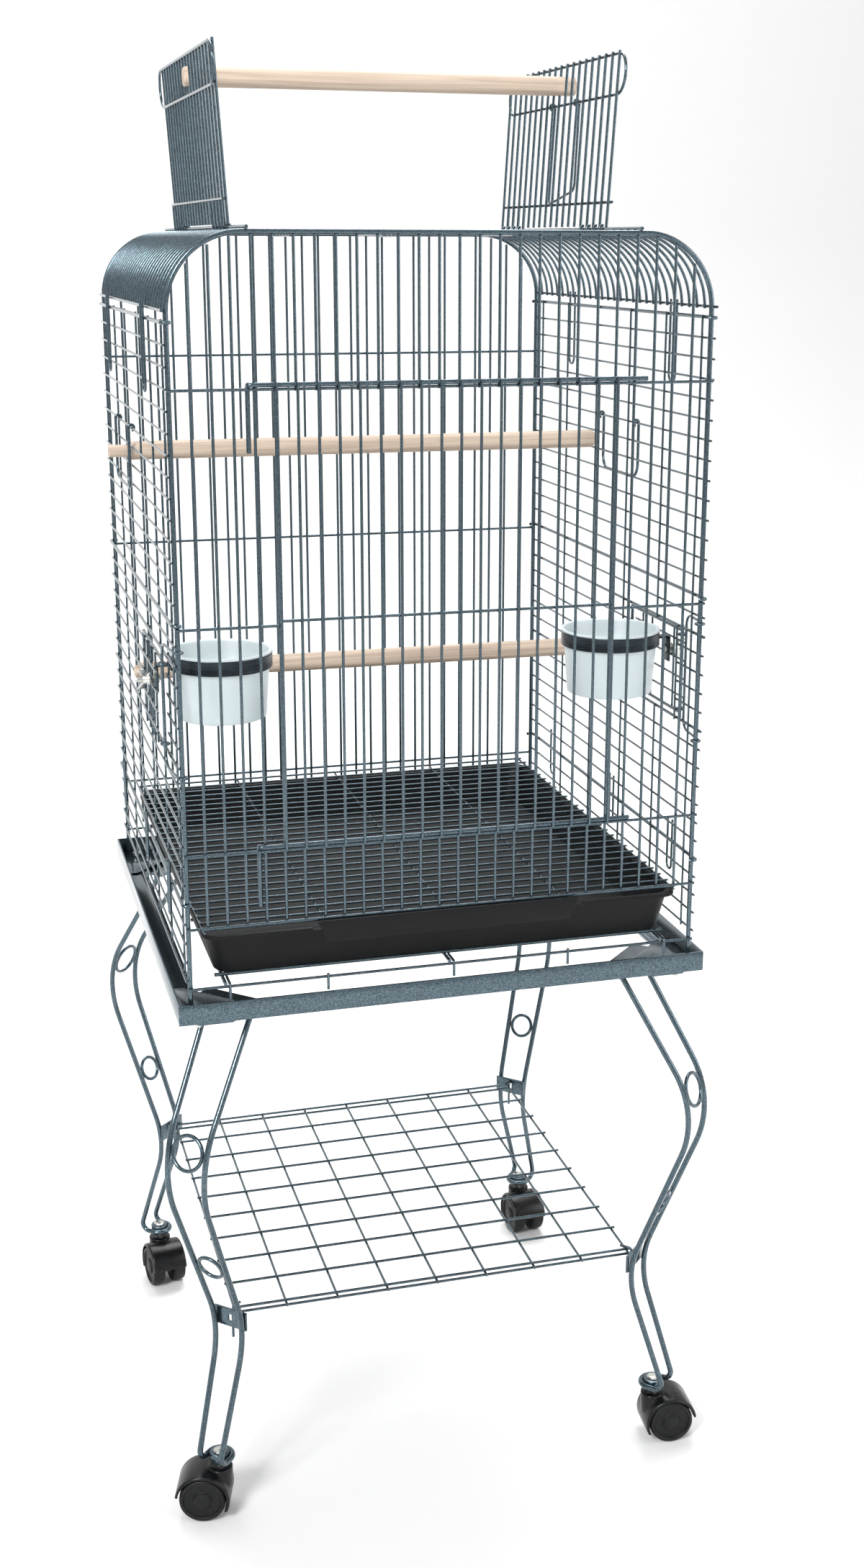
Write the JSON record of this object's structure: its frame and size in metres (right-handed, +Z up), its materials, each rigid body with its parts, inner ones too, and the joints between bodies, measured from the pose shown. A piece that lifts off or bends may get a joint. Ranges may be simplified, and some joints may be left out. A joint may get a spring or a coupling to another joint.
{
  "type": "bird cage on stand",
  "caption": "Wire bird cage with open play top, front and feeder doors, pull-out tray, bent-rod stand with wire shelf and swivel casters.",
  "frame": {"origin": "on the floor below the middle of the cage", "axes": "+X to the right seen from the front, +Y to the back, +Z up"},
  "size_m": [0.5748, 0.5746, 1.4476],
  "materials": {
    "silver_wire": "hammered silver-grey powder coat",
    "silver_paint": "hammered silver-grey powder coat on sheet and angle",
    "black_plastic": "matte moulded black",
    "caster_black": "satin moulded black",
    "wheel_black": "matte black wheels",
    "zinc": "bright zinc plate",
    "dowel": "plain turned softwood",
    "cup_plastic": "translucent white-grey moulding",
    "band_metal": "dark satin metallic band"
  },
  "bodies": {
    "cage": {"stand_frame": "silver_paint", "corner_plates": "silver_paint", "corner_bolts": "zinc", "leg_front_left": "silver_wire", "leg_front_right": "silver_wire", "leg_back_left": "silver_wire", "leg_back_right": "silver_wire", "leg_rings": "silver_wire", "shelf_brackets": "silver_paint", "caster_bushes": "silver_paint", "shelf": "silver_wire", "base_frame": "silver_wire", "front_panel": "silver_wire", "back_panel": "silver_wire", "left_panel": "silver_wire", "right_panel": "silver_wire", "left_shoulder": "silver_wire", "right_shoulder": "silver_wire", "roof": "silver_wire", "upper_perch": "dowel", "lower_perch": "dowel", "panel_clips": "silver_wire"},
    "front_door": {"front_door": "silver_wire"},
    "top_door_left": {"top_door_left": "silver_wire"},
    "top_door_right": {"top_door_right": "silver_wire"},
    "top_latch": {"top_latch": "silver_wire"},
    "top_perch": {"top_perch": "dowel"},
    "tray": {"tray": "black_plastic", "grate": "silver_wire"},
    "handle_left": {"handle_left": "silver_wire"},
    "handle_right": {"handle_right": "silver_wire"},
    "feeder_latch_left": {"feeder_latch_left": "silver_wire"},
    "feeder_latch_right": {"feeder_latch_right": "silver_wire"},
    "feeder_door_left": {"feeder_door_left": "silver_wire", "cup_ring_left": "band_metal"},
    "cup_left": {"cup_left": "cup_plastic"},
    "wing_nut_left": {"wing_nut_left": "zinc"},
    "feeder_door_right": {"feeder_door_right": "silver_wire", "cup_ring_right": "band_metal"},
    "cup_right": {"cup_right": "cup_plastic"},
    "wing_nut_right": {"wing_nut_right": "zinc"},
    "caster_fl": {"caster_hood_fl": "caster_black", "caster_stem_fl": "zinc"},
    "wheels_fl": {"caster_wheels_fl": "wheel_black"},
    "caster_fr": {"caster_hood_fr": "caster_black", "caster_stem_fr": "zinc"},
    "wheels_fr": {"caster_wheels_fr": "wheel_black"},
    "caster_bl": {"caster_hood_bl": "caster_black", "caster_stem_bl": "zinc"},
    "wheels_bl": {"caster_wheels_bl": "wheel_black"},
    "caster_br": {"caster_hood_br": "caster_black", "caster_stem_br": "zinc"},
    "wheels_br": {"caster_wheels_br": "wheel_black"}
  },
  "joints": [
    {"name": "front_door_hinge", "type": "hinge", "parent": "cage", "child": "front_door", "pos_m": [-0.18434, -0.2577, 0.936], "axis": [0, 0, -1], "range_deg": [0, 108]},
    {"name": "top_door_right_hinge", "type": "hinge", "parent": "cage", "child": "top_door_right", "pos_m": [0.182, 0, 1.28603], "axis": [0, 1, 0], "range_deg": [0, 80]},
    {"name": "top_door_left_hinge", "type": "hinge", "parent": "cage", "child": "top_door_left", "pos_m": [-0.182, 0, 1.28603], "axis": [0, -1, 0], "range_deg": [0, 80]},
    {"name": "top_latch_swing", "type": "hinge", "parent": "top_door_right", "child": "top_latch", "pos_m": [0.19233, 0, 1.40863], "axis": [0, -1, 0], "range_deg": [0, 90]},
    {"name": "top_perch_push", "type": "slide", "parent": "cage", "child": "top_perch", "axis": [1, 0, 0], "range_m": [0, 0.01]},
    {"name": "tray_slide", "type": "slide", "parent": "cage", "child": "tray", "axis": [0, -1, 0], "range_m": [0, 0.45]},
    {"name": "handle_right_swing", "type": "hinge", "parent": "cage", "child": "handle_right", "pos_m": [0.25753, 0, 1.092], "axis": [0, -1, 0], "range_deg": [0, 90]},
    {"name": "feeder_door_right_hinge", "type": "hinge", "parent": "cage", "child": "feeder_door_right", "pos_m": [0.26138, -0.2, 0.8545], "axis": [0, 0, -1], "range_deg": [0, 95]},
    {"name": "feeder_latch_right_swing", "type": "hinge", "parent": "cage", "child": "feeder_latch_right", "pos_m": [0.254, -0.259, 0.8545], "axis": [0, 0, -1], "range_deg": [0, 90]},
    {"name": "cup_right_lift", "type": "slide", "parent": "feeder_door_right", "child": "cup_right", "axis": [0, 0, 1], "range_m": [0, 0.08]},
    {"name": "wing_nut_right_turn", "type": "hinge", "parent": "feeder_door_right", "child": "wing_nut_right", "pos_m": [0.27138, -0.157, 0.8697], "axis": [1, 0, 0], "continuous": true},
    {"name": "handle_left_swing", "type": "hinge", "parent": "cage", "child": "handle_left", "pos_m": [-0.25753, 0, 1.092], "axis": [0, 1, 0], "range_deg": [0, 90]},
    {"name": "feeder_door_left_hinge", "type": "hinge", "parent": "cage", "child": "feeder_door_left", "pos_m": [-0.26138, -0.2, 0.8545], "axis": [0, 0, 1], "range_deg": [0, 95]},
    {"name": "feeder_latch_left_swing", "type": "hinge", "parent": "cage", "child": "feeder_latch_left", "pos_m": [-0.254, -0.259, 0.8545], "axis": [0, 0, 1], "range_deg": [0, 90]},
    {"name": "cup_left_lift", "type": "slide", "parent": "feeder_door_left", "child": "cup_left", "axis": [0, 0, 1], "range_m": [0, 0.08]},
    {"name": "wing_nut_left_turn", "type": "hinge", "parent": "feeder_door_left", "child": "wing_nut_left", "pos_m": [-0.27138, -0.157, 0.8697], "axis": [-1, 0, 0], "continuous": true},
    {"name": "caster_fl_swivel", "type": "hinge", "parent": "cage", "child": "caster_fl", "pos_m": [-0.23931, -0.24155, 0.06], "axis": [0, 0, 1], "continuous": true},
    {"name": "wheels_fl_spin", "type": "hinge", "parent": "caster_fl", "child": "wheels_fl", "pos_m": [-0.25566, -0.23686, 0.024], "axis": [-0.2756, -0.9613, 0], "continuous": true},
    {"name": "caster_fr_swivel", "type": "hinge", "parent": "cage", "child": "caster_fr", "pos_m": [0.23931, -0.24155, 0.06], "axis": [0, 0, 1], "continuous": true},
    {"name": "wheels_fr_spin", "type": "hinge", "parent": "caster_fr", "child": "wheels_fr", "pos_m": [0.25625, -0.24303, 0.024], "axis": [0.0872, 0.9962, 0], "continuous": true},
    {"name": "caster_bl_swivel", "type": "hinge", "parent": "cage", "child": "caster_bl", "pos_m": [-0.23931, 0.24155, 0.06], "axis": [0, 0, 1], "continuous": true},
    {"name": "wheels_bl_spin", "type": "hinge", "parent": "caster_bl", "child": "wheels_bl", "pos_m": [-0.23636, 0.22481, 0.024], "axis": [0.9848, 0.1736, 0], "continuous": true},
    {"name": "caster_br_swivel", "type": "hinge", "parent": "cage", "child": "caster_br", "pos_m": [0.23931, 0.24155, 0.06], "axis": [0, 0, 1], "continuous": true},
    {"name": "wheels_br_spin", "type": "hinge", "parent": "caster_br", "child": "wheels_br", "pos_m": [0.2408, 0.22462, 0.024], "axis": [0.9962, 0.0872, 0], "continuous": true}
  ]
}
